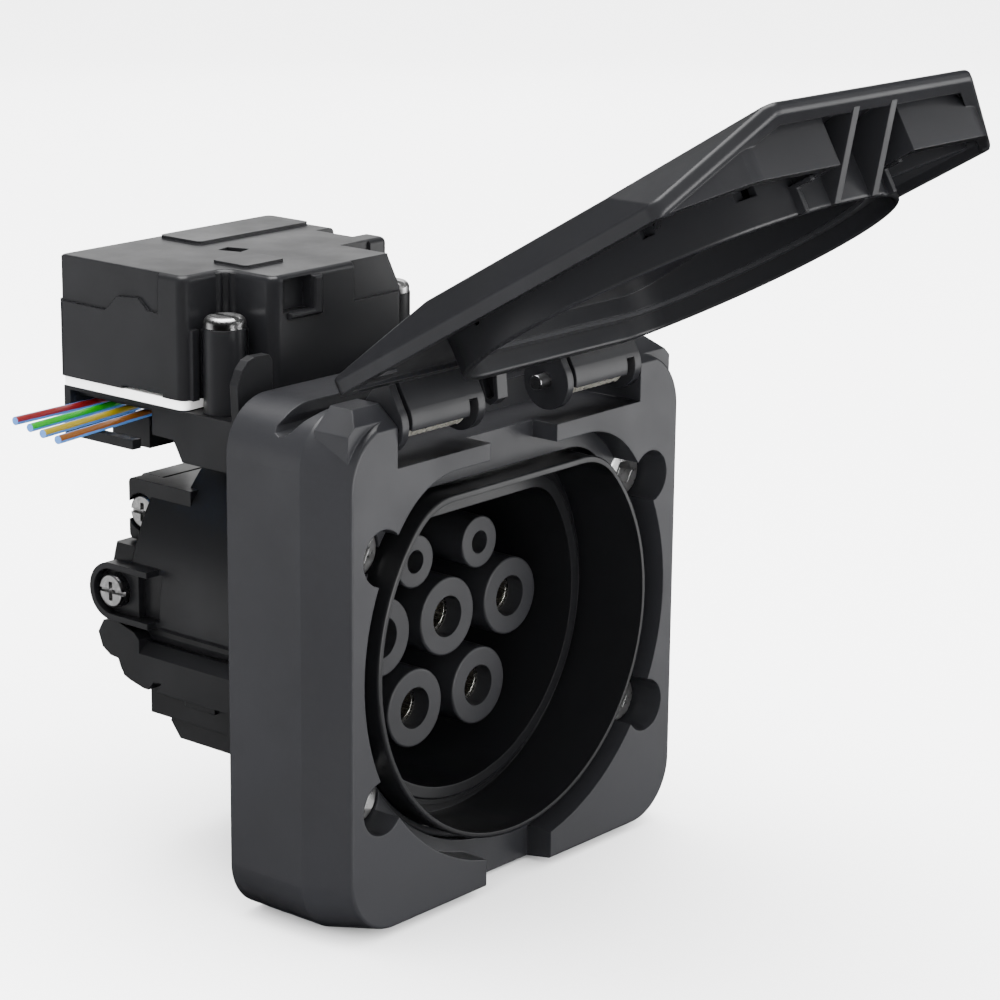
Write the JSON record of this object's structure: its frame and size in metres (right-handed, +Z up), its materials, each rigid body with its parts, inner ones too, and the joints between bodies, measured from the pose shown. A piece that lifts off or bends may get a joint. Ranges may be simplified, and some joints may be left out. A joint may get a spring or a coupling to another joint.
{
  "type": "ev charging socket",
  "caption": "Wall-mounted vehicle charging socket with a sprung hinged cover, a round flat-topped plug cavity with contact towers, and a motor-driven pin lock on top.",
  "frame": {"origin": "centre of the four panel inserts, on the flange's rear face", "axes": "+Y into the wall panel, +Z up, +X to the right seen from the front"},
  "size_m": [0.0988, 0.1458, 0.1461],
  "materials": {
    "graphite_shell": "moulded, fine texture",
    "black_plastic": "moulded, satin",
    "white_plastic": "moulded, smooth",
    "seal_rubber": "soft",
    "spring_steel": "drawn wire",
    "screw_steel": "zinc plated",
    "pin_steel": "ground",
    "contact_silver": "silver plated",
    "brass": "turned, knurled",
    "gear_plastic": "moulded",
    "motor_steel": "pressed can",
    "board_green": "solder mask",
    "lead_red": "pale blue sheath with a red stripe",
    "lead_green": "pale blue sheath with a green stripe",
    "lead_yellow": "pale blue sheath with a yellow stripe",
    "lead_brown": "pale blue sheath with a brown stripe"
  },
  "bodies": {
    "socket": {"mounting_flange": "graphite_shell", "panel_inserts": "brass", "flange_screws": "screw_steel", "socket_insert": "black_plastic", "contact_carrier": "black_plastic", "contact_towers": "black_plastic", "contact_earth": "contact_silver", "contact_neutral": "contact_silver", "contact_phase_1": "contact_silver", "contact_phase_2": "contact_silver", "contact_phase_3": "contact_silver", "contact_pilot": "contact_silver", "contact_proximity": "contact_silver", "rear_seal": "seal_rubber", "rear_cap": "black_plastic", "rear_cap_screws": "screw_steel", "hinge_pin_left": "pin_steel", "hinge_pin_right": "pin_steel", "torsion_spring_left": "spring_steel", "torsion_spring_right": "spring_steel", "lock_bracket": "black_plastic", "lock_base_plate": "white_plastic", "lock_case": "black_plastic", "lock_screws": "screw_steel", "gear_axle": "pin_steel", "lock_motor": "motor_steel", "control_board": "board_green", "position_switch": "black_plastic", "lead_block": "white_plastic", "lead_red": "lead_red", "lead_green": "lead_green", "lead_yellow": "lead_yellow", "lead_brown": "lead_brown"},
    "cover": {"cover": "graphite_shell", "cover_seal": "seal_rubber"},
    "lock_pin": {"locking_pin": "pin_steel"},
    "gear": {"drive_gear": "gear_plastic"},
    "pinion": {"motor_pinion": "brass"}
  },
  "joints": [
    {"name": "cover_hinge", "type": "hinge", "parent": "socket", "child": "cover", "pos_m": [0, -0.0223, 0.0427], "axis": [1, 0, 0], "range_deg": [0, 120], "stiffness_Nm_per_rad": 0.02, "springref_deg": -91.67, "deforming": ["torsion_spring_left", "torsion_spring_right"]},
    {"name": "lock_pin_slide", "type": "slide", "parent": "socket", "child": "lock_pin", "axis": [0, 0, -1], "range_m": [0, 0.0055]},
    {"name": "gear_spin", "type": "hinge", "parent": "socket", "child": "gear", "pos_m": [-0.00555, 0.0154, 0.0499], "axis": [0, -1, 0], "range_deg": [-88, 0]},
    {"name": "motor_spin", "type": "hinge", "parent": "socket", "child": "pinion", "pos_m": [-0.0176, 0.0164, 0.0499], "axis": [0, -1, 0], "range_deg": [0, 262.6]}
  ],
  "couplings": [
    {"joint": "motor_spin", "follows": "lock_pin_slide", "rad_per_m": 833.3},
    {"joint": "gear_spin", "follows": "lock_pin_slide", "rad_per_m": -277.77}
  ]
}
